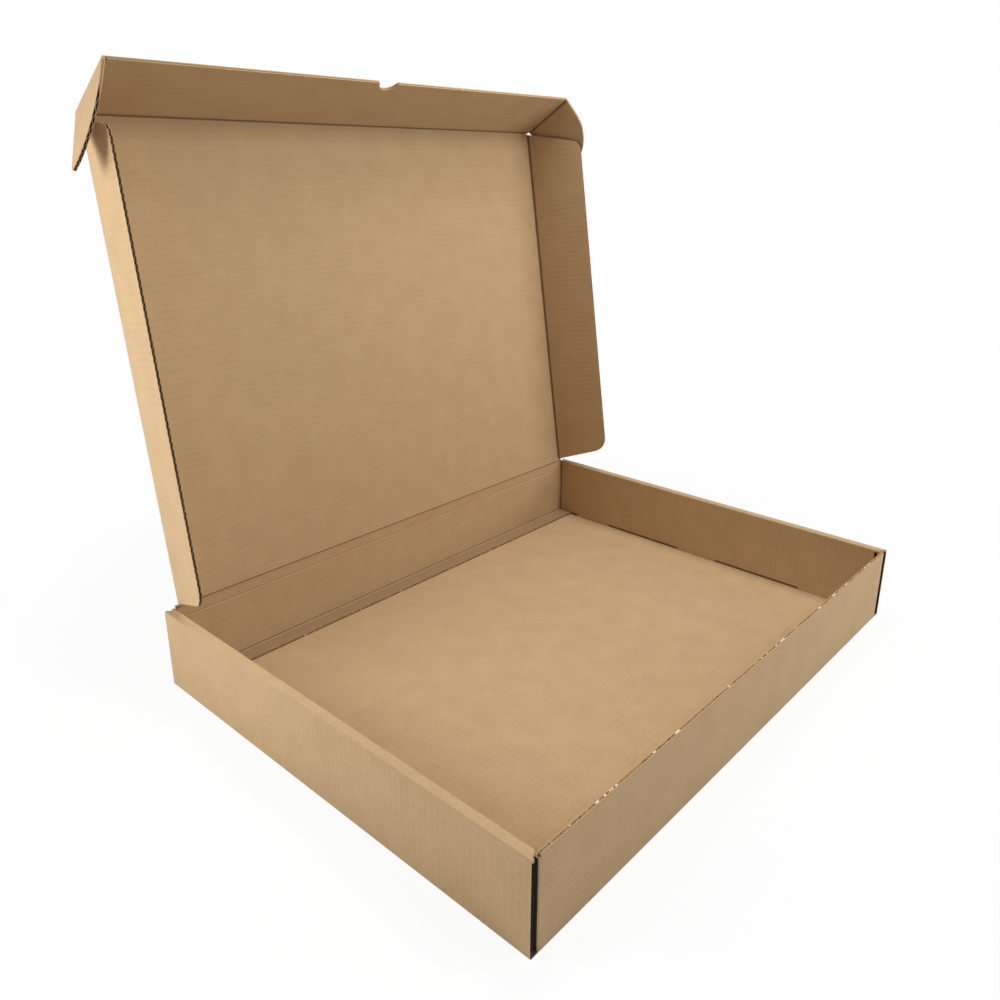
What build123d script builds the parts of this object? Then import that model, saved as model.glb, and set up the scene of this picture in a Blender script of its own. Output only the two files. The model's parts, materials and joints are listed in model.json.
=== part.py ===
"""Corrugated mailer box with its lid open: a rolled-wall tray and a lid with side flaps, tuck flap and ears.

Frame: X along the hinge of the lid, Y from the front wall to the rear wall, Z up. The origin is the middle of
the tray's underside. All sizes are in millimetres, angles in degrees.
"""

from build123d import *
import math
import os

# Tray, outside sizes
tray_width = 610.0
tray_depth = 458.0
tray_height = 80.0

# Corrugated board and its folds
board = 2.8
fold_radius = 2.0
roll_radius = 1.4
inner_fold_radius = 0.4
corner_radius = 3.4

# Flutes, which run across the box, and how deep they are open behind a cut edge
flute_pitch = 6.2
flute_opening = 5.2
liner = 0.35
opening_depth = 3.5

# Double side walls: outer panel, corner flap and inner panel, with air between the plies
ply_gap = 0.55
panel_foot_gap = 2.6
front_foot_length = 30.0
front_foot_gap = 0.3
roll_end_step = 1.5
roll_end_slant = 3.3
tab_length = 56.0
tab_spacing = 166.0
tab_count = 3
tab_tip_gap = 0.4
slot_side_gap = 0.3
slot_end_gap = 0.6

# End walls and the corner flaps that lie inside the side walls
front_wall_drop = 0.5
corner_flap_length = 70.0
corner_flap_foot = 0.6
corner_flap_headroom = 0.4
corner_flap_slant = 12.0
corner_run_in = 10.0
front_corner_setback = 3.7
front_panel_setback = 10.0

# Glued flange of the rear wall, and the relief score below the hinge
flange_reach = 23.0
flange_side_gap = 1.0
score_drop = 11.0
score_width = 2.4
score_depth = 0.45

# Lid
fold_clearance = 0.3
crush = 1.0
hinge_end_gap = 0.6
tuck_clearance = 3.6
ear_wall_gap = 0.6
ear_flap_gap = 0.7

# Side flaps of the lid
flap_floor_gap = 1.2
flap_rear_start = 1.0
flap_front_start = 1.4
flap_rear_slope = 0.22
flap_front_slope = 0.265
flap_rear_radius = 20.0
flap_front_radius = 14.0

# Tuck flap and its ears
tuck_floor_gap = 4.2
notch_width = 24.6
notch_depth = 10.4
notch_lip_radius = 1.5
ear_length = 69.0
ear_root_start = 0.6
ear_root_taper = 11.0
ear_tip_step = 1.0
ear_radius = 50.0
ear_heel_radius = 6.0

# How far a body that cuts or joins reaches past the face it works on
reach_past = 1.0

# Open position of each panel, measured from shut for the lid and from flat for the rest
lid_open = 98.6
flap_fold = 80.0
tuck_fold = 66.7
right_ear_fold = 72.0
left_ear_fold = 66.0

# Planes of the side walls' plies, on the +X side
wall_x = tray_width / 2
outer_ply_x = wall_x - board
flap_ply_outer_x = outer_ply_x - ply_gap
flap_ply_inner_x = flap_ply_outer_x - board
inner_ply_x = flap_ply_inner_x - ply_gap
inside_x = inner_ply_x - board

# Planes of the end walls
wall_y = tray_depth / 2
inside_y = wall_y - board

# Heights in the tray
panel_foot = board + panel_foot_gap
roof = tray_height - board

# Hinge of the lid, and the places of the panels that fold from it
hinge_y = wall_y - board / 2
hinge_z = tray_height + board / 2
edge_gap = board / 2 + fold_clearance
lid_length = 2 * inside_y - board - tuck_clearance
ear_crease_x = inside_x - ear_wall_gap - board
flap_crease_x = ear_crease_x - ear_flap_gap - board
flap_axis_x = flap_crease_x + board / 2
ear_axis_x = ear_crease_x + board / 2
tuck_axis_y = -(lid_length + board)
flap_width = tray_height - board - flap_floor_gap
tuck_width = tray_height - board - tuck_floor_gap


def outline(*corners):
    """Closed face through (x, y, radius) corners; a radius of 0 leaves the corner sharp."""
    points = [(x, y) for x, y, _ in corners]
    radii = [radius for _, _, radius in corners]
    return make_face(FilletPolyline(*points, radius=radii, close=True))


def slab(low, high):
    """Solid block between two opposite corners."""
    size = [b - a for a, b in zip(low, high)]
    return Pos(*low) * Box(*size, align=(Align.MIN, Align.MIN, Align.MIN))


def both_sides(solid):
    """The solid and its mirror image across the tray's middle plane."""
    return solid + mirror(solid, about=Plane.YZ)


def both_ends(solid):
    """The solid and its mirror image from front to rear."""
    return solid + mirror(solid, about=Plane.XZ)


def end_wall(setback, low_z, high_z):
    """Rear end wall between two heights, folded at both ends into corner flaps inside the side walls.

    Seen in plan, a corner that is set back stands clear of the side wall, and its flap runs in on a slant.
    """
    flap_end_y = wall_y - corner_flap_length
    corner_x = flap_ply_outer_x - setback
    lean = math.atan2(setback, corner_run_in)
    mitre = math.tan(math.pi / 4 - lean / 2)
    right = [(flap_ply_outer_x, flap_end_y, 0), (corner_x, wall_y, corner_radius)]
    right_inner = [
        (corner_x - board * mitre, inside_y, corner_radius - board),
        (flap_ply_inner_x, flap_end_y, 0),
    ]
    if setback:
        run_in_y = wall_y - corner_run_in
        right.insert(1, (flap_ply_outer_x, run_in_y, corner_radius + board))
        right_inner.insert(1, (flap_ply_inner_x, run_in_y - board * math.tan(lean / 2), corner_radius))
    left = [(-x, y, radius) for x, y, radius in reversed(right)]
    left_inner = [(-x, y, radius) for x, y, radius in reversed(right_inner)]
    bend = outline(*right, *left, *left_inner, *right_inner)
    end_wall_half = corner_x - corner_radius * mitre
    flap_low = board + corner_flap_foot
    flap_high = roof - corner_flap_headroom
    walls = Pos(0, 0, flap_low) * extrude(bend, flap_high - flap_low)
    slant = Plane.YZ * outline(
        (flap_end_y - reach_past, flap_high + reach_past, 0),
        (flap_end_y + corner_flap_slant, flap_high + reach_past, 0),
        (flap_end_y - reach_past, flap_low + board, 0),
    )
    walls -= extrude(slant, wall_x, both=True)
    return walls + slab((-end_wall_half, inside_y, low_z), (end_wall_half, wall_y, high_z))


def side_wall_section():
    """Section across the tray: floor, outer panels, rolled tops and inner panels as one folded strip."""
    right = [
        (wall_x, 0, fold_radius),
        (wall_x, tray_height, roll_radius),
        (inside_x, tray_height, roll_radius),
        (inside_x, panel_foot, 0),
        (inner_ply_x, panel_foot, 0),
        (inner_ply_x, roof, inner_fold_radius),
        (outer_ply_x, roof, inner_fold_radius),
        (outer_ply_x, board, inner_fold_radius),
    ]
    left = [(-x, z, radius) for x, z, radius in reversed(right)]
    return Plane.XZ * outline(*right, *left)


def roll_end_cut():
    """What is trimmed at the rear end of the +X wall: the inner panel stops short and the roll's end slants."""
    trim = outline(
        (inside_x - reach_past, wall_y + reach_past, 0),
        (outer_ply_x, wall_y + reach_past, 0),
        (outer_ply_x, wall_y - roll_end_step, 0),
        (inside_x, wall_y - roll_end_step - roll_end_slant, 0),
        (inside_x - reach_past, wall_y - roll_end_step - roll_end_slant, 0),
    )
    return Pos(0, 0, panel_foot - reach_past) * extrude(trim, tray_height)


def make_tray():
    """Tray blank: floor, front wall, and side walls rolled over and locked into slots in the floor."""
    tray = extrude(side_wall_section(), wall_y, both=True)
    tray -= both_ends(both_sides(roll_end_cut()))
    panel_end_y = -(wall_y - front_panel_setback)
    cut_back = slab(
        (inside_x - reach_past, -wall_y - reach_past, panel_foot - reach_past),
        (flap_ply_inner_x, panel_end_y, roof),
    )
    tray -= both_sides(cut_back)
    tray += mirror(end_wall(front_corner_setback, 0, tray_height - front_wall_drop), about=Plane.XZ)

    # Rounded fold along the foot of the front wall
    corner = Plane.YZ * outline(
        (-wall_y, 0, 0),
        (-wall_y + fold_radius, 0, 0),
        (-wall_y + fold_radius, fold_radius, 0),
        (-wall_y, fold_radius, 0),
    )
    sharp = extrude(corner, wall_x, both=True)
    barrel = Pos(0, -wall_y + fold_radius, fold_radius) * Rot(0, 90, 0) * Cylinder(fold_radius, tray_width)
    tray -= sharp - barrel

    # Locking tabs of the inner panels, standing in slots through the floor
    for number in range(tab_count):
        tab_y = (number - (tab_count - 1) / 2) * tab_spacing
        slot_half = tab_length / 2 + slot_end_gap
        slot = slab(
            (inside_x - slot_side_gap, tab_y - slot_half, -reach_past),
            (inner_ply_x + slot_side_gap, tab_y + slot_half, board + reach_past),
        )
        tab = slab(
            (inside_x, tab_y - tab_length / 2, tab_tip_gap),
            (inner_ply_x, tab_y + tab_length / 2, panel_foot + reach_past),
        )
        tray = tray - both_sides(slot) + both_sides(tab)

    # Foot at the front end of each inner panel, down to the floor
    foot = slab(
        (inside_x, panel_end_y, board + front_foot_gap),
        (inner_ply_x, panel_end_y + front_foot_length, panel_foot + reach_past),
    )
    tray += both_sides(foot)

    # The side walls' ends are cut along a flute, which stands open between the liners
    for end_y in (-wall_y, wall_y):
        channel = slab(
            (outer_ply_x + liner, end_y - opening_depth, 2 * board),
            (wall_x - liner, end_y + opening_depth, tray_height - board),
        )
        tray -= both_sides(channel)
    return tray


def make_rear_wall():
    """Rear wall of the lid blank: glued flange on the floor, corner flaps, and a relief score inside."""
    wall = end_wall(0, board + fold_radius, hinge_z - edge_gap)
    flange = Plane.YZ * outline(
        (wall_y, board, fold_radius),
        (wall_y, 3 * board, 0),
        (inside_y, 3 * board, 0),
        (inside_y, 2 * board, inner_fold_radius),
        (wall_y - flange_reach, 2 * board, 0),
        (wall_y - flange_reach, board, 0),
    )
    wall += extrude(flange, inside_x - flange_side_gap, both=True)
    score_z = tray_height - score_drop
    groove = Plane.YZ * outline(
        (inside_y - reach_past, score_z - score_width / 2, 0),
        (inside_y, score_z - score_width / 2, 0),
        (inside_y + score_depth, score_z, 0),
        (inside_y, score_z + score_width / 2, 0),
        (inside_y - reach_past, score_z + score_width / 2, 0),
    )
    return wall - extrude(groove, inside_x, both=True)


def flat_panel(face):
    """Board cut to an outline, its middle plane on Z = 0."""
    return Pos(0, 0, -board / 2) * extrude(face, board)


def crease_along_y(start_y, end_y):
    """Rounded fold edge on the Y axis."""
    return Pos(0, (start_y + end_y) / 2, 0) * Rot(90, 0, 0) * Cylinder(board / 2, abs(end_y - start_y))


def crease_along_x(half_length):
    """Rounded fold edge on the X axis."""
    return Rot(0, 90, 0) * Cylinder(board / 2, 2 * half_length)


def crush_edges(panel, keep_y):
    """Crushed inside corner along every lower edge of a panel except the one at keep_y."""
    lower = panel.faces().sort_by(Axis.Z)[0].edges()
    edges = [edge for edge in lower if abs(edge.center().Y - keep_y) > fold_clearance]
    return chamfer(edges, crush)


def open_flutes(face, start_x, low_y):
    """Flutes as they stand open behind a panel's cut edge, beyond start_x and down to low_y.

    The fluted medium is drawn as a zigzag, so each flute is a triangle under one liner, and the next one lies
    half a pitch on, under the other liner.
    """
    far_x = face.bounding_box().max.X + board
    liner_z = board / 2 - liner
    apex_z = liner_z - 2 * liner_z * flute_opening / flute_pitch
    flutes = []
    for number in range(1, int(-low_y / flute_pitch * 2)):
        side = 1 if number % 2 else -1
        middle = -number * flute_pitch / 2
        corners = [
            (middle - flute_opening / 2, side * liner_z),
            (middle + flute_opening / 2, side * liner_z),
            (middle, side * apex_z),
        ]
        flutes.append(Plane.YZ * make_face(Polyline(*corners, close=True)))
    bars = Compound([Pos(start_x, 0, 0) * extrude(flute, far_x - start_x, dir=(1, 0, 0)) for flute in flutes])
    rim = face - offset(face, -opening_depth)
    return bars & flat_panel(rim)


def make_lid_panel():
    """Lid as it lies when shut: it runs from its hinge on the X axis towards -Y, inside face down."""
    half_x = flap_axis_x - edge_gap
    panel = slab((-half_x, tuck_axis_y + edge_gap, -board / 2), (half_x, 0, board / 2))
    return crush_edges(panel, 0) + crease_along_x(inside_x - hinge_end_gap)


def make_lid_flap():
    """Right side flap, flat: its fold lies on the Y axis and it runs towards +X."""
    reach = flap_width + board / 2
    rear_y = -(flap_rear_start + board / 2)
    front_y = -(lid_length - flap_front_start + board / 2)
    face = outline(
        (0, rear_y, 0),
        (reach, rear_y - flap_rear_slope * reach, flap_rear_radius),
        (reach, front_y + flap_front_slope * reach, flap_front_radius),
        (0, front_y, 0),
    )
    flutes = open_flutes(face, reach - flap_rear_radius, front_y)
    return flat_panel(face) - flutes + crease_along_y(rear_y, front_y)


def make_tuck_flap():
    """Tuck flap, flat: its fold lies on the X axis and it runs towards -Y, with a thumb notch in the free edge."""
    half_x = ear_axis_x - edge_gap
    reach = tuck_width + board / 2
    panel = slab((-half_x, -reach, -board / 2), (half_x, 0, board / 2))
    sides = panel.faces().sort_by(Axis.Z)[0].edges().filter_by(Axis.Y)
    panel = chamfer(sides, crush) + crease_along_x(half_x)
    notch_radius = (notch_width**2 / 4 + notch_depth**2) / (2 * notch_depth)
    notch = Pos(0, -reach + notch_depth - notch_radius, 0) * Cylinder(notch_radius, 2 * board)
    panel -= notch
    lips = [
        edge
        for edge in panel.edges().filter_by(Axis.Z)
        if abs(edge.center().X) < notch_width and abs(edge.center().Y + reach) < fold_clearance
    ]
    return fillet(lips, notch_lip_radius)


def make_ear():
    """Right ear, flat: its fold lies on the Y axis and it runs towards +X, with a round leading corner."""
    reach = ear_length + board / 2
    root_y = -(ear_root_start + board / 2)
    tip_y = -(tuck_width + board / 2)
    heel_y = root_y - ear_root_taper
    toe_y = tip_y + ear_tip_step
    toe_radius = min(ear_radius, heel_y - toe_y - ear_heel_radius)
    face = outline(
        (0, root_y, 0),
        (reach, heel_y, ear_heel_radius),
        (reach, toe_y, toe_radius),
        (0, tip_y, 0),
    )
    flutes = open_flutes(face, (reach - toe_radius) / 2, tip_y)
    return flat_panel(face) - flutes + crease_along_y(root_y, tip_y)


# Places of the folding panels in the open position
lid_place = Location((0, hinge_y, hinge_z), (-lid_open, 0, 0))
right_flap_place = lid_place * Location((flap_axis_x, 0, 0), (0, flap_fold, 0))
left_flap_place = lid_place * Location((-flap_axis_x, 0, 0), (0, -flap_fold, 0))
tuck_place = lid_place * Location((0, tuck_axis_y, 0), (tuck_fold, 0, 0))
right_ear_place = tuck_place * Location((ear_axis_x, 0, 0), (0, right_ear_fold, 0))
left_ear_place = tuck_place * Location((-ear_axis_x, 0, 0), (0, -left_ear_fold, 0))

lid_flap = make_lid_flap()
ear = make_ear()

nodes = {
    "tray": make_tray(),
    "rear_wall": make_rear_wall(),
    "lid_panel": lid_place * make_lid_panel(),
    "right_lid_flap": right_flap_place * lid_flap,
    "left_lid_flap": left_flap_place * mirror(lid_flap, about=Plane.YZ),
    "tuck_flap": tuck_place * make_tuck_flap(),
    "right_ear": right_ear_place * ear,
    "left_ear": left_ear_place * mirror(ear, about=Plane.YZ),
}

os.makedirs("parts", exist_ok=True)
for name, shape in nodes.items():
    export_step(shape, f"parts/{name}.step")
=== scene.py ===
"""Looks of an open mailer box: kraft paper on corrugated board, its creases and its cut edges.

Every length is in metres, unless its name ends in _mm or _MM. The box keeps its own frame: X along the hinge, Y
from the front wall to the rear wall, Z up.
"""

import json
import math

import bpy
import numpy as np
from mathutils import Matrix, Vector


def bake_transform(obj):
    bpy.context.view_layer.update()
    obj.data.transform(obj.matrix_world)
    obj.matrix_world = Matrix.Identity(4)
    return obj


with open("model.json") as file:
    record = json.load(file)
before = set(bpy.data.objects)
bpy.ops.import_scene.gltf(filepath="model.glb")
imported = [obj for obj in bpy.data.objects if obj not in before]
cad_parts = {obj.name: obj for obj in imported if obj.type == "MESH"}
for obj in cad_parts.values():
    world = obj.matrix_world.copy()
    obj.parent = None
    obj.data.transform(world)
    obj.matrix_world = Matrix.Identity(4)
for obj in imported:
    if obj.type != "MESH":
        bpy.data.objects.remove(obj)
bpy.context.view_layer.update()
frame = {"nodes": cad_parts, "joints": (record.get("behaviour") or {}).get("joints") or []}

# Corrugated board: thickness, flute pitch, and the paper of one liner
MM = 0.001
BOARD_MM = 2.8
HALF_BOARD_MM = BOARD_MM / 2
FLUTE_PITCH_MM = 6.2
LINER_MM = 0.35

# Tray: outer faces of its walls, top of the front wall, where its corners start, and the underside of the roll
WALL_X_MM = 305.0
WALL_Y_MM = 229.0
FRONT_WALL_TOP_MM = 79.5
CORNER_X_MM = 297.6
ROLL_FOOT_MM = 77.4

# Glued flange of the rear wall: its reach from the outer face, and the fold between it and the wall's inner face
FLANGE_REACH_MM = 23.0
FLANGE_FOLD_MM = HALF_BOARD_MM + 0.6
FLANGE_FOLD_TOP_MM = 2.4 * BOARD_MM

# Camera, fitted to the corners of the box in the photograph
CAMERA_PLACE = (-0.6300, -0.4982, 0.4865)
CAMERA_YAW = 48.01
CAMERA_PITCH = 18.27
CAMERA_ROLL = 0.284
FOCAL_PX = 860.9
CENTRE_PX = (505.2, 447.5)
PICTURE_PX = 1000
SENSOR_MM = 36.0


# Places of the folding panels

joints = {joint["name"]: joint for joint in frame["joints"]}
hinge_point = Vector(joints["lid_fold"]["pos_m"])
tuck_point = Vector(joints["tuck_fold"]["pos_m"])
flap_point = Vector(joints["right_flap_fold"]["pos_m"])
ear_point = Vector(joints["right_ear_fold"]["pos_m"])
across = Vector((1, 0, 0))
up_the_lid = Vector(joints["right_flap_fold"]["axis"])

# Fold of each flap and ear at rest, from flat: the upper end of its range is the flat sheet
fold_angles = {name: math.radians(joint["range_deg"][1]) for name, joint in joints.items() if name != "lid_fold"}


def sheet_place(origin, along, up):
    """Matrix from the flat sheet (x along the flutes, y across them, z out of the inner face) to a panel."""
    inward = along.cross(up)
    turn = Matrix((along, up, inward)).transposed().to_4x4()
    return Matrix.Translation(origin) @ turn


def folded(parent_place, joint_name):
    """Place of a panel that is folded from its parent: the parent's, turned back from flat about the fold."""
    joint = joints[joint_name]
    point = Vector(joint["pos_m"])
    turn = Matrix.Rotation(-fold_angles[joint_name], 4, Vector(joint["axis"]))
    return Matrix.Translation(point) @ turn @ Matrix.Translation(-point) @ parent_place


rear_wall_place = sheet_place(hinge_point, across, Vector((0, 0, 1)))
lid_place = sheet_place(hinge_point, across, up_the_lid)
right_flap_place = folded(lid_place, "right_flap_fold")
left_flap_place = folded(lid_place, "left_flap_fold")
tuck_place = folded(lid_place, "tuck_fold")
right_ear_place = folded(tuck_place, "right_ear_fold")
left_ear_place = folded(tuck_place, "left_ear_fold")

# Where the folds lie on the flat sheet, in millimetres from the middle of the hinge
flap_fold_mm = flap_point.x / MM
ear_fold_mm = ear_point.x / MM
tuck_fold_mm = (tuck_point - hinge_point).length / MM


# Helpers

def linear(hex_colour):
    """sRGB hex value as linear RGBA: each channel is put through the sRGB curve."""
    channels = [int(hex_colour[i : i + 2], 16) / 255 for i in (1, 3, 5)]
    curve = [c / 12.92 if c <= 0.04045 else ((c + 0.055) / 1.055) ** 2.4 for c in channels]
    return (*curve, 1.0)


def add(tree, kind, inputs=(), **settings):
    """Adds a node, sets its properties, fills its inputs with values or other nodes' outputs, gives its outputs."""
    node = tree.nodes.new(kind)
    for name, value in settings.items():
        setattr(node, name, value)
    for key, value in dict(inputs).items():
        if isinstance(value, bpy.types.NodeSocket):
            tree.links.new(value, node.inputs[key])
        else:
            node.inputs[key].default_value = value
    return node.outputs


def new_material(name):
    """Empty node material and its tree."""
    material = bpy.data.materials.new(name)
    material.use_nodes = True
    material.node_tree.nodes.clear()
    return material, material.node_tree


# Kinds of node that are used again and again, with their settings. A range runs from inputs 1 and 2 to 3 and 4, and
# a mix of colours takes its share at input 0 and the colours at 6 and 7.
MATH = "ShaderNodeMath"
RANGE = "ShaderNodeMapRange"
MIX = "ShaderNodeMix"
NOISE = "ShaderNodeTexNoise"
SMOOTH = {"interpolation_type": "SMOOTHSTEP"}
COLOUR = {"data_type": "RGBA"}


# Kraft liner: unbleached brown paper, uncoated and matt, with cloudy tone, short fibres and a few specks of bark.
# It is glued to the flutes, so their lines show through it as a faint washboard.

LINER = "#BC9E75"
LINER_DARK = "#9F805A"
LINER_PALE = "#CDB38F"
SPECK = "#5A4029"
CLOUD_MM = 30.0
FIBRE_LENGTH_MM = 3.0
FIBRE_WIDTH_MM = 0.8
GRAIN_MM = 1.3
SPECK_SPACING_MM = 24.0
WASHBOARD_HEIGHT_MM = 0.035
GRAIN_HEIGHT_MM = 0.03

# Flange in painted shade, darker than the rest of the liner: the shade starts past the wall, at these distances from
# its middle
LINER_IN_SHADE = "#86694A"
FLANGE_SHADE = 0.75
FLANGE_SHADE_START_MM = 3.0
FLANGE_SHADE_FULL_MM = 5.0

# Painted shade: dark line in a crease, at its full share over the core of its width
CREASE_SHADE = "#5E442B"
CREASE_SHARE = 0.75
CREASE_WIDTH_MM = 1.1
CREASE_CORE = 0.3

# Cut edge: pale rims of the liners, and between them the darker fluted paper, crushed and torn by the knife, with
# patches of painted shade.
# Each limit is a level of noise: the paper is painted in shade below dark, and torn to a pale fleck above torn.
EDGE_RIM = "#B89468"
MEDIUM = "#8A6A48"
MEDIUM_IN_SHADE = "#2A1B12"
TORN = "#E9DCC6"
RIM_MM = 0.6
SHADE_PATCH_MM = 2.2
FLECK_MM = 5.5
SHADE_REACH_MM = 3.0
WALL_EDGE = {"torn": 0.62, "dark": 0.45}
FLAP_EDGE = {"torn": 0.7, "dark": 0.3}

# Where a cut edge is painted: past a fold's roll, short of the faces, and between the corners of the front wall
PAST_FOLD_MM = HALF_BOARD_MM + 0.6
FACE_MARGIN_MM = 0.08
TOP_MARGIN_MM = 0.05
FLANGE_MARGIN_MM = 0.1
FRONT_CORNER_MM = 6.0
HAIR_MM = 0.01

# Open ends of the side walls: the band of painted shade, and its height over the table
SHADE_BAND_MM = 12.0
SHADE_FOOT_MM = 0.4


def sheet_coordinates(tree, place):
    """Position on the flat sheet in millimetres, found by undoing the place of the panel."""
    position = add(tree, "ShaderNodeTexCoord")["Object"]
    inputs = {
        "Vector": position,
        "Location": place.to_translation(),
        "Rotation": place.to_euler("XYZ"),
        "Scale": (MM, MM, MM),
    }
    return add(tree, "ShaderNodeMapping", inputs, vector_type="TEXTURE")[0]


def distance(tree, coordinate, line):
    """Distance of a coordinate from a line: the size of their difference."""
    away = add(tree, MATH, {0: coordinate, 1: line}, operation="SUBTRACT")[0]
    return add(tree, MATH, {0: away}, operation="ABSOLUTE")[0]


def liner_paper(tree, sheet, across_flutes):
    """Colour and height, in millimetres, of the liner."""
    cloud = add(tree, NOISE, {"Vector": sheet, "Scale": 1 / CLOUD_MM, "Detail": 4.0})[0]
    fibre_size = (1 / FIBRE_WIDTH_MM, 1 / FIBRE_LENGTH_MM, 1 / FIBRE_WIDTH_MM)
    stretched = add(tree, "ShaderNodeVectorMath", {0: sheet, 1: fibre_size}, operation="MULTIPLY")[0]
    fibres = add(tree, NOISE, {"Vector": stretched, "Scale": 1.0, "Detail": 3.0})[0]
    grain = add(tree, NOISE, {"Vector": sheet, "Scale": 1 / GRAIN_MM, "Detail": 4.0})[0]

    # Washboard: a cosine across the flutes, stronger and weaker from place to place
    phase = add(tree, MATH, {0: across_flutes, 1: 2 * math.pi / FLUTE_PITCH_MM}, operation="MULTIPLY")[0]
    wave = add(tree, MATH, {0: phase}, operation="COSINE")[0]
    strength = add(tree, RANGE, {"Value": cloud, 1: 0.3, 2: 0.7, 3: 0.3, 4: 1.0}, **SMOOTH)[0]
    washboard = add(tree, MATH, {0: wave, 1: strength}, operation="MULTIPLY")[0]

    # Tone: clouds and fibres are darker, the grain is paler, and the valleys of the washboard get a little painted
    # shade
    colour = linear(LINER)
    dark, pale = linear(LINER_DARK), linear(LINER_PALE)
    for value, low, high, low_share, high_share, tone in (
        (cloud, 0.3, 0.75, 0.0, 0.2, dark),
        (fibres, 0.42, 0.75, 0.0, 0.22, dark),
        (grain, 0.45, 0.75, 0.0, 0.4, pale),
        (washboard, -1.0, 0.4, 0.1, 0.0, dark),
    ):
        share = add(tree, RANGE, {"Value": value, 1: low, 2: high, 3: low_share, 4: high_share}, **SMOOTH)[0]
        colour = add(tree, MIX, {0: share, 6: colour, 7: tone}, **COLOUR)[2]

    # Specks of bark, one in about half of the cells
    cells = add(tree, "ShaderNodeTexVoronoi", {"Vector": sheet, "Scale": 1 / SPECK_SPACING_MM})
    near = add(tree, RANGE, {"Value": cells["Distance"], 1: 0.014, 2: 0.028, 3: 0.6, 4: 0.0}, **SMOOTH)[0]
    lot = add(tree, "ShaderNodeSeparateXYZ", {0: cells["Color"]})[0]
    chosen = add(tree, MATH, {0: lot, 1: 0.5}, operation="GREATER_THAN")[0]
    share = add(tree, MATH, {0: near, 1: chosen}, operation="MULTIPLY")[0]
    colour = add(tree, MIX, {0: share, 6: colour, 7: linear(SPECK)}, **COLOUR)[2]

    height = add(tree, MATH, {0: washboard, 1: WASHBOARD_HEIGHT_MM}, operation="MULTIPLY")[0]
    for relief in (fibres, grain):
        height = add(tree, MATH, {0: relief, 1: GRAIN_HEIGHT_MM, 2: height}, operation="MULTIPLY_ADD")[0]
    return colour, height


def crease_line(tree, colour, away, where):
    """Colour with the painted shade of a crease's dark line, from the distance to the fold, on the part where the
    mask is 1.
    """
    line = {"Value": away, 1: CREASE_CORE * CREASE_WIDTH_MM, 2: CREASE_WIDTH_MM, 3: CREASE_SHARE, 4: 0.0}
    share = add(tree, RANGE, line, **SMOOTH)[0]
    share = add(tree, MATH, {0: share, 1: where}, operation="MULTIPLY")[0]
    return add(tree, MIX, {0: share, 6: colour, 7: linear(CREASE_SHADE)}, **COLOUR)[2]


def cut_board(tree, sheet, depth, torn, dark):
    """Colour of a cut edge, from the distance to the middle of the board: rim, then torn medium with patches of
    painted shade.
    """
    rim = add(tree, RANGE, {"Value": depth, 1: HALF_BOARD_MM - 1.5 * RIM_MM, 2: HALF_BOARD_MM - RIM_MM}, **SMOOTH)[0]
    # Patches of painted shade in the fluted paper
    shade_patches = add(tree, NOISE, {"Vector": sheet, "Scale": 1 / SHADE_PATCH_MM, "Detail": 3.0})[0]
    share = add(tree, RANGE, {"Value": shade_patches, 1: dark - 0.08, 2: dark + 0.08}, **SMOOTH)[0]
    medium = add(tree, MIX, {0: share, 6: linear(MEDIUM_IN_SHADE), 7: linear(MEDIUM)}, **COLOUR)[2]
    flecks = add(tree, NOISE, {"Vector": sheet, "Scale": 1 / FLECK_MM, "Detail": 2.0})[0]
    share = add(tree, RANGE, {"Value": flecks, 1: torn - 0.03, 2: torn + 0.03}, **SMOOTH)[0]
    medium = add(tree, MIX, {0: share, 6: medium, 7: linear(TORN)}, **COLOUR)[2]
    colour = add(tree, MIX, {0: rim, 6: medium, 7: linear(EDGE_RIM)}, **COLOUR)[2]

    # Painted shade inside an open flute, where little light comes in
    open_air = add(tree, "ShaderNodeAmbientOcclusion", {"Distance": SHADE_REACH_MM * MM}, samples=4)["AO"]
    share = add(tree, RANGE, {"Value": open_air, 1: 0.45, 2: 0.85}, **SMOOTH)[0]
    return add(tree, MIX, {0: share, 6: linear(MEDIUM_IN_SHADE), 7: colour}, **COLOUR)[2]


def finish_board(tree, colour, height):
    """Matt paper surface with a fine relief."""
    relief = add(tree, "ShaderNodeBump", {"Strength": 1.0, "Distance": MM, "Height": height})[0]
    surface = {
        "Base Color": colour,
        "Roughness": 0.86,
        "Specular IOR Level": 0.3,
        "Sheen Weight": 0.08,
        "Sheen Roughness": 0.5,
        "Normal": relief,
    }
    shader = add(tree, "ShaderNodeBsdfPrincipled", surface)[0]
    add(tree, "ShaderNodeOutputMaterial", {"Surface": shader})


def panel_board(name, place, edge_axis=None, edge_from=0.0):
    """Board of a folding panel, with cut edges beyond a distance from the middle of the hinge, on one axis."""
    material, tree = new_material(name)
    sheet = sheet_coordinates(tree, place)
    split = add(tree, "ShaderNodeSeparateXYZ", {0: sheet})
    colour, height = liner_paper(tree, sheet, split["Y"])
    if edge_axis:
        depth = add(tree, MATH, {0: split["Z"]}, operation="ABSOLUTE")[0]
        out = add(tree, MATH, {0: split[edge_axis]}, operation="ABSOLUTE")[0]
        beyond = add(tree, MATH, {0: out, 1: edge_from}, operation="GREATER_THAN")[0]
        below = add(tree, MATH, {0: depth, 1: HALF_BOARD_MM - FACE_MARGIN_MM}, operation="LESS_THAN")[0]
        on_edge = add(tree, MATH, {0: beyond, 1: below}, operation="MULTIPLY")[0]
        edge = cut_board(tree, sheet, depth, **FLAP_EDGE)
        colour = add(tree, MIX, {0: on_edge, 6: colour, 7: edge}, **COLOUR)[2]
    finish_board(tree, colour, height)
    return material


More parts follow.
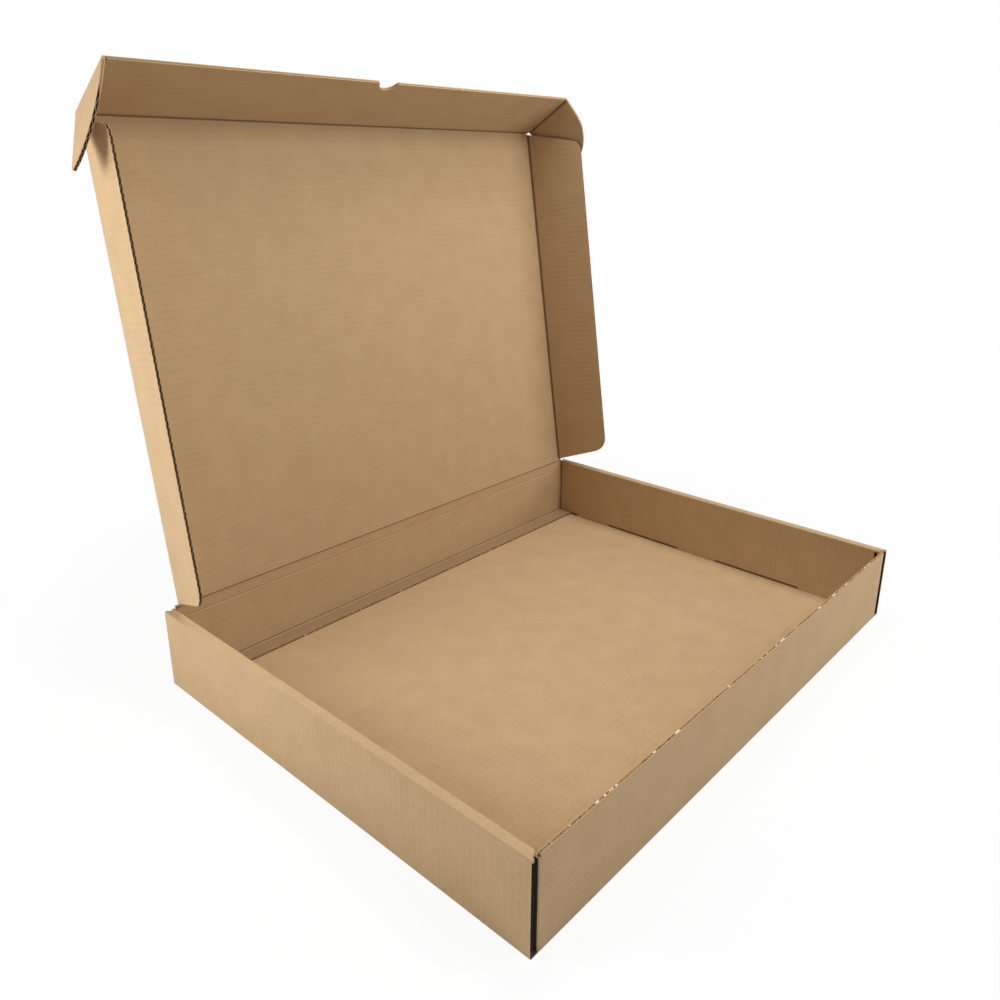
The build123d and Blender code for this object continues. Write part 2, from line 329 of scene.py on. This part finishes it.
def crease_board(name, place, fold_x, folds_y=()):
    """Board over folds, with a thin dark line of painted shade inside each: at fold_x on both sides, and across at
    each of folds_y.
    """
    material, tree = new_material(name)
    sheet = sheet_coordinates(tree, place)
    x, y, z = add(tree, "ShaderNodeSeparateXYZ", {0: sheet})
    colour, height = liner_paper(tree, sheet, y)
    out = add(tree, MATH, {0: x}, operation="ABSOLUTE")[0]
    nearest = distance(tree, out, fold_x)
    for fold_y in folds_y:
        nearest = add(tree, MATH, {0: nearest, 1: distance(tree, y, fold_y)}, operation="MINIMUM")[0]
    inside = add(tree, MATH, {0: z, 1: 0.0}, operation="GREATER_THAN")[0]
    colour = crease_line(tree, colour, nearest, inside)
    finish_board(tree, colour, height)
    return material


def tray_board():
    """Board of the tray, with the cut top of the front wall and painted shade in the cut ends of the side walls."""
    material, tree = new_material("kraft_board_tray")
    sheet = sheet_coordinates(tree, Matrix.Identity(4))
    x, y, z = add(tree, "ShaderNodeSeparateXYZ", {0: sheet})
    normal = add(tree, "ShaderNodeTexCoord")["Normal"]
    turn = add(tree, "ShaderNodeSeparateXYZ", {0: normal})
    facing_y = add(tree, MATH, {0: turn["Y"]}, operation="ABSOLUTE")[0]
    on_end_wall = add(tree, MATH, {0: facing_y, 1: 0.7}, operation="GREATER_THAN")[0]
    across_flutes = add(tree, MIX, {0: on_end_wall, 2: y, 3: z})[0]
    colour, height = liner_paper(tree, sheet, across_flutes)
    from_middle = add(tree, MATH, {0: x}, operation="ABSOLUTE")[0]

    # Top edge of the front wall
    depth = distance(tree, y, HALF_BOARD_MM - WALL_Y_MM)
    on_top = add(tree, MATH, {0: z, 1: FRONT_WALL_TOP_MM - TOP_MARGIN_MM}, operation="GREATER_THAN")[0]
    for value, limit in ((depth, HALF_BOARD_MM + HAIR_MM), (from_middle, WALL_X_MM - FRONT_CORNER_MM)):
        within = add(tree, MATH, {0: value, 1: limit}, operation="LESS_THAN")[0]
        on_top = add(tree, MATH, {0: on_top, 1: within}, operation="MULTIPLY")[0]
    edge = cut_board(tree, sheet, depth, **WALL_EDGE)
    colour = add(tree, MIX, {0: on_top, 6: colour, 7: edge}, **COLOUR)[2]

    # Ends of the side walls: from the outer liner to the end wall's corner, the open board is painted in deep shade
    from_front = add(tree, MATH, {0: y}, operation="ABSOLUTE")[0]
    in_shade = add(tree, MATH, {0: from_front, 1: WALL_Y_MM - SHADE_BAND_MM}, operation="GREATER_THAN")[0]
    for value, side, limit in (
        (from_middle, "GREATER_THAN", CORNER_X_MM),
        (from_middle, "LESS_THAN", WALL_X_MM - LINER_MM - 2 * HAIR_MM),
        (z, "LESS_THAN", ROLL_FOOT_MM),
        (z, "GREATER_THAN", SHADE_FOOT_MM),
    ):
        within = add(tree, MATH, {0: value, 1: limit}, operation=side)[0]
        in_shade = add(tree, MATH, {0: in_shade, 1: within}, operation="MULTIPLY")[0]
    colour = add(tree, MIX, {0: in_shade, 6: colour, 7: linear(MEDIUM_IN_SHADE)}, **COLOUR)[2]
    finish_board(tree, colour, height)
    return material


def rear_wall_board():
    """Board of the rear wall, with its glued flange: its painted shade, the painted dark line at the fold and the cut
    front edge.
    """
    material, tree = new_material("kraft_board_rear_wall")
    sheet = sheet_coordinates(tree, rear_wall_place)
    split = add(tree, "ShaderNodeSeparateXYZ", {0: sheet})
    y, z = split["Y"], split["Z"]
    hinge_mm = hinge_point.z / MM
    colour, height = liner_paper(tree, sheet, y)

    # Painted shade: the flange's liner is darker past the wall
    flange_shade_range = {"Value": z, 1: FLANGE_SHADE_START_MM, 2: FLANGE_SHADE_FULL_MM, 3: 0.0, 4: FLANGE_SHADE}
    on_flange = add(tree, RANGE, flange_shade_range, **SMOOTH)[0]
    colour = add(tree, MIX, {0: on_flange, 6: colour, 7: linear(LINER_IN_SHADE)}, **COLOUR)[2]

    # Painted shade: a dark line along the fold between the wall and the flange
    low = add(tree, MATH, {0: y, 1: FLANGE_FOLD_TOP_MM - hinge_mm}, operation="LESS_THAN")[0]
    colour = crease_line(tree, colour, distance(tree, z, FLANGE_FOLD_MM), low)

    edge_from = FLANGE_REACH_MM - HALF_BOARD_MM - FLANGE_MARGIN_MM
    depth = distance(tree, y, 1.5 * BOARD_MM - hinge_mm)
    beyond = add(tree, MATH, {0: z, 1: edge_from}, operation="GREATER_THAN")[0]
    below = add(tree, MATH, {0: depth, 1: HALF_BOARD_MM - FACE_MARGIN_MM}, operation="LESS_THAN")[0]
    on_edge = add(tree, MATH, {0: beyond, 1: below}, operation="MULTIPLY")[0]
    edge = cut_board(tree, sheet, depth, **WALL_EDGE)
    colour = add(tree, MIX, {0: on_edge, 6: colour, 7: edge}, **COLOUR)[2]
    finish_board(tree, colour, height)
    return material


def cover(node_name, material):
    """Gives a node of the box one material."""
    slots = frame["nodes"][node_name].data.materials
    slots.clear()
    slots.append(material)


flap_edge_mm = flap_fold_mm + PAST_FOLD_MM
tuck_edge_mm = tuck_fold_mm + PAST_FOLD_MM
ear_edge_mm = ear_fold_mm + PAST_FOLD_MM
cover("tray", tray_board())
cover("rear_wall", rear_wall_board())
cover("lid_panel", panel_board("kraft_board_lid", lid_place))
cover("right_lid_flap", panel_board("kraft_board_right_flap", right_flap_place, "X", flap_edge_mm))
cover("left_lid_flap", panel_board("kraft_board_left_flap", left_flap_place, "X", flap_edge_mm))
cover("tuck_flap", panel_board("kraft_board_tuck_flap", tuck_place, "Y", tuck_edge_mm))
cover("right_ear", panel_board("kraft_board_right_ear", right_ear_place, "X", ear_edge_mm))
cover("left_ear", panel_board("kraft_board_left_ear", left_ear_place, "X", ear_edge_mm))


# Creases: the paper of the liners runs over each fold of the lid, and bends with it

# How far a strip stands out from the board, how much of that it loses towards its edges, and how thick it is
SKIN_RISE_MM = 0.05
SKIN_FEATHER = 0.7
SKIN_THICK_MM = 0.04

# How far it reaches from the fold's axis, which is less on the lid's side of the hinge, and how far the bend does
SKIN_REACH_MM = 4.4
LID_REACH_MM = 2.3
SKIN_BEND_MM = 2.2
ARC_POINTS = 8

# Where the creases start and end along their folds
HINGE_HALF_MM = 287.0
TUCK_HALF_MM = 287.6
FLAP_CREASE_MM = (2.6, 444.0)
EAR_CREASE_MM = (2.2, 74.0)


def fold_profile(fold, offset, reach):
    """Points (along the parent, inward) of a face across a fold, at an offset from the middle of the board.

    Where the face bulges it follows an arc about the fold axis. Where it is hollow, the flats meet on the bisector.
    """
    turn = np.array([[math.cos(fold), -math.sin(fold)], [math.sin(fold), math.cos(fold)]])
    if offset * fold < 0:
        angles = np.linspace(0, fold, ARC_POINTS)
        middle = np.stack([-np.sin(angles), np.cos(angles)], axis=1) * offset
    else:
        middle = np.array([[-math.sin(fold / 2), math.cos(fold / 2)]]) * offset / math.cos(fold / 2)
    feathered = offset * (1 - SKIN_FEATHER * SKIN_RISE_MM / HALF_BOARD_MM)
    parent = np.array([(-SKIN_REACH_MM, feathered), (-SKIN_BEND_MM, offset)])
    child = np.array([(SKIN_BEND_MM, offset), (reach, feathered)]) @ turn.T
    return np.concatenate([parent, middle, child])


def crease_skin(name, line, toward, inward, fold, material, reach=SKIN_REACH_MM):
    """Two closed strips along a fold, one on each face: a thin band between two profiles, from end to end.

    Each point is the fold's end plus its profile point along the parent and inward. Quads join neighbours.
    """
    start, end = (np.array(point) for point in line)
    along, up = np.array(toward), np.array(inward)
    for side, face in ((1, "inside"), (-1, "outside")):
        rise = side * (HALF_BOARD_MM + SKIN_RISE_MM)
        seen = fold_profile(fold, rise, reach)
        hidden = fold_profile(fold, rise - side * SKIN_THICK_MM, reach)
        ring = np.concatenate([seen, hidden[::-1]]) * MM
        offsets = ring[:, :1] * along + ring[:, 1:] * up
        points = np.concatenate([start + offsets, end + offsets])
        count, half = len(ring), len(seen)
        faces = [(i, (i + 1) % count, count + (i + 1) % count, count + i) for i in range(count)]
        for i in range(half - 1):
            cap = (i, count - 1 - i, count - 2 - i, i + 1)
            faces.append(cap)
            faces.append(tuple(count + corner for corner in reversed(cap)))
        # Six times the volume: the sum of corner . (next x last) over the triangles, below zero if inside out
        first, second, third, last = (points[[face_corners[n] for face_corners in faces]] for n in range(4))
        crossed = np.cross(second, third) + np.cross(third, last)
        if (first * crossed).sum() < 0:
            faces = [tuple(reversed(face_corners)) for face_corners in faces]
        mesh = bpy.data.meshes.new(f"{name}_{face}")
        mesh.from_pydata(points.tolist(), [], faces)
        mesh.materials.append(material)
        strip = bpy.data.objects.new(f"{name}_{face}", mesh)
        bpy.context.scene.collection.objects.link(strip)
        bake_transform(strip)


def inner_line(fold_mm, joint_name):
    """Where the flats of the inner face meet: short of the fold's axis by half the board times tan(fold / 2)."""
    return fold_mm - HALF_BOARD_MM * math.tan(fold_angles[joint_name] / 2)


flap_line = inner_line(flap_fold_mm, "right_flap_fold")
ear_line = inner_line(ear_fold_mm, "right_ear_fold")
tuck_line = inner_line(tuck_fold_mm, "tuck_fold")
lid_paper = crease_board("kraft_board_lid_creases", lid_place, flap_line, (0.0, tuck_line))
tuck_paper = crease_board("kraft_board_ear_creases", tuck_place, ear_line)
lid_inward = lid_place.col[2].to_3d()
tuck_inward = tuck_place.col[2].to_3d()
up_the_tuck = tuck_place.col[1].to_3d()

# The shut lid is at the lower end of its hinge's range, at right angles to the rear wall
lean_back = math.pi / 2 + math.radians(joints["lid_fold"]["range_deg"][0])

line = [hinge_point + across * MM * x for x in (-HINGE_HALF_MM, HINGE_HALF_MM)]
crease_skin("hinge_crease", line, (0, 0, 1), (0, -1, 0), lean_back, lid_paper, LID_REACH_MM)
line = [tuck_point + across * MM * x for x in (-TUCK_HALF_MM, TUCK_HALF_MM)]
crease_skin("tuck_crease", line, up_the_lid, lid_inward, fold_angles["tuck_fold"], lid_paper)
for side, hand in ((1, "right"), (-1, "left")):
    flip = Vector((side, 1, 1))
    line = [flap_point * flip + up_the_lid * MM * y for y in FLAP_CREASE_MM]
    fold = fold_angles[f"{hand}_flap_fold"]
    crease_skin(f"{hand}_flap_crease", line, across * side, lid_inward, fold, lid_paper)
    line = [ear_point * flip + up_the_tuck * MM * y for y in EAR_CREASE_MM]
    fold = fold_angles[f"{hand}_ear_fold"]
    crease_skin(f"{hand}_ear_crease", line, across * side, tuck_inward, fold, tuck_paper)


# Floor and light

FLOOR_HALF = 4.0
FLOOR_PALE = "#F2F2F2"

# Share of plain white in what the camera sees of the floor: some shadow is kept near the box and none far from it
WHITE_NEAR = 0.92
WHITE_FAR = 1.0
NEAR_BOX = 0.4
FAR_FROM_BOX = 0.9


def stage_floor():
    """Plain pale floor: white to the camera, with the soft shadow kept where it is close to the box."""
    mesh = bpy.data.meshes.new("floor")
    corners = [(x * FLOOR_HALF, y * FLOOR_HALF, 0) for x, y in ((-1, -1), (1, -1), (1, 1), (-1, 1))]
    mesh.from_pydata(corners, [], [(0, 1, 2, 3)])
    floor = bpy.data.objects.new("floor", mesh)
    bpy.context.scene.collection.objects.link(floor)
    material, tree = new_material("pale_floor")
    paint = add(tree, "ShaderNodeBsdfDiffuse", {"Color": linear(FLOOR_PALE)})[0]
    white = add(tree, "ShaderNodeEmission", {"Color": (1, 1, 1, 1), "Strength": 1.0})[0]
    position = add(tree, "ShaderNodeTexCoord")["Object"]
    away = add(tree, "ShaderNodeVectorMath", {0: position}, operation="LENGTH")["Value"]
    whiter = {"Value": away, 1: NEAR_BOX, 2: FAR_FROM_BOX, 3: WHITE_NEAR, 4: WHITE_FAR}
    share = add(tree, RANGE, whiter, **SMOOTH)[0]
    seen = add(tree, "ShaderNodeLightPath")["Is Camera Ray"]
    share = add(tree, MATH, {0: seen, 1: share}, operation="MULTIPLY")[0]
    surface = add(tree, "ShaderNodeMixShader", {0: share, 1: paint, 2: white})[0]
    add(tree, "ShaderNodeOutputMaterial", {"Surface": surface})
    mesh.materials.append(material)


def soft_light(name, place, aim, size, watts):
    """Square white area lamp that faces a point."""
    lamp = bpy.data.lights.new(name, "AREA")
    lamp.shape = "SQUARE"
    lamp.size = size
    lamp.energy = watts
    holder = bpy.data.objects.new(name, lamp)
    holder.location = place
    holder.rotation_euler = (Vector(aim) - Vector(place)).to_track_quat("-Z", "Y").to_euler()
    holder.visible_camera = False
    bpy.context.scene.collection.objects.link(holder)


def light_the_box():
    """White surroundings, and soft lamps: over the tray, high and low in front, at the left and behind the left."""
    world = bpy.data.worlds.new("surroundings")
    world.use_nodes = True
    tree = world.node_tree
    tree.nodes.clear()
    rays = add(tree, "ShaderNodeLightPath")
    seen = add(tree, MATH, {0: rays["Is Camera Ray"], 1: rays["Is Glossy Ray"]}, operation="MAXIMUM")[0]
    seen = add(tree, MATH, {0: seen, 1: rays["Is Transmission Ray"]}, operation="MAXIMUM")[0]
    level = add(tree, RANGE, {"Value": seen, 3: 0.0, 4: 1.0})[0]
    background = add(tree, "ShaderNodeBackground", {"Color": (1, 1, 1, 1), "Strength": level})[0]
    add(tree, "ShaderNodeOutputWorld", {"Surface": background})
    bpy.context.scene.world = world
    soft_light("lamp_over_tray", (0.2, 0.1, 1.1), (0.15, 0.0, 0.0), 0.5, 5.4)
    soft_light("low_right_front_lamp", (1.1, -1.2, 0.6), (0.3, -0.2, 0.1), 0.6, 6.2)
    soft_light("left_rear_lamp", (-1.0, 1.0, 0.5), (-0.3, 0.1, 0.2), 0.5, 5.9)
    soft_light("left_lamp", (-0.9, 0.3, 0.5), (-0.3, 0.1, 0.2), 0.4, 4.0)
    soft_light("high_front_lamp", (0.4, -1.0, 1.5), (0.2, 0.1, 0.2), 0.6, 14.6)
    soft_light("ceiling_lamp", (0, -1.5, 2.0), (0, 0, 0.1), 1.5, 3.7)


def place_camera():
    """Camera of the photograph: yaw from +Y towards +X, pitch down, then roll about the line of sight."""
    yaw, pitch, roll = (math.radians(v) for v in (CAMERA_YAW, CAMERA_PITCH, CAMERA_ROLL))
    forward = Vector((math.sin(yaw) * math.cos(pitch), math.cos(yaw) * math.cos(pitch), -math.sin(pitch)))
    right = Vector((math.cos(yaw), -math.sin(yaw), 0))
    up = right.cross(forward)
    x_axis = right * math.cos(roll) + up * math.sin(roll)
    y_axis = up * math.cos(roll) - right * math.sin(roll)
    lens = bpy.data.cameras.new("camera")
    lens.sensor_width = SENSOR_MM
    lens.lens = FOCAL_PX / PICTURE_PX * SENSOR_MM
    lens.shift_x = (PICTURE_PX / 2 - CENTRE_PX[0]) / PICTURE_PX
    lens.shift_y = (CENTRE_PX[1] - PICTURE_PX / 2) / PICTURE_PX
    lens.clip_start = 0.01
    camera = bpy.data.objects.new("camera", lens)
    turn = Matrix((x_axis, y_axis, -forward)).transposed().to_4x4()
    camera.matrix_world = Matrix.Translation(CAMERA_PLACE) @ turn
    bpy.context.scene.collection.objects.link(camera)
    bpy.context.scene.camera = camera


stage_floor()
light_the_box()
place_camera()
bpy.context.scene.view_settings.view_transform = "Standard"
